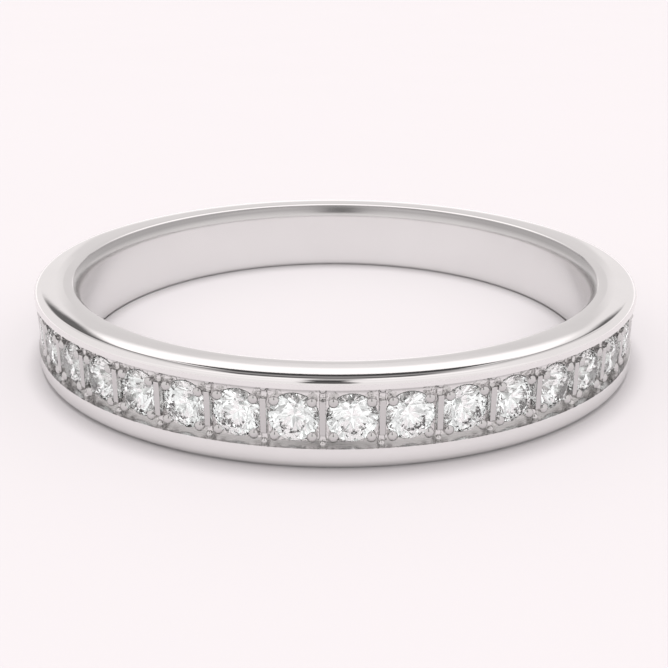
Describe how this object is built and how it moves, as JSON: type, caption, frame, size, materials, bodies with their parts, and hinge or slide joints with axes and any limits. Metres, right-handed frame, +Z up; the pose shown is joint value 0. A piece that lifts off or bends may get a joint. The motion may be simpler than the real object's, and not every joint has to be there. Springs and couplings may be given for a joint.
{
  "type": "band ring",
  "caption": "Plain round band ring with a row of round brilliant-cut stones set in a recessed channel round the front half, between polished rails.",
  "frame": {"origin": "on the ring's axis, on the surface that the ring lies on", "axes": "+Z up along the ring's axis; -Y out through the middle stone of the row"},
  "size_m": [0.02, 0.02, 0.0026],
  "materials": {
    "white_metal": "polished white precious metal",
    "stone": "clear, faceted and polished"
  },
  "bodies": {
    "root": {"band": "white_metal", "stone_01": "stone", "stone_02": "stone", "stone_03": "stone", "stone_04": "stone", "stone_05": "stone", "stone_06": "stone", "stone_07": "stone", "stone_08": "stone", "stone_09": "stone", "stone_10": "stone", "stone_11": "stone", "stone_12": "stone", "stone_13": "stone", "stone_14": "stone", "stone_15": "stone", "stone_16": "stone", "stone_17": "stone", "stone_18": "stone", "stone_19": "stone", "stone_20": "stone", "stone_21": "stone"}
  },
  "joints": []
}
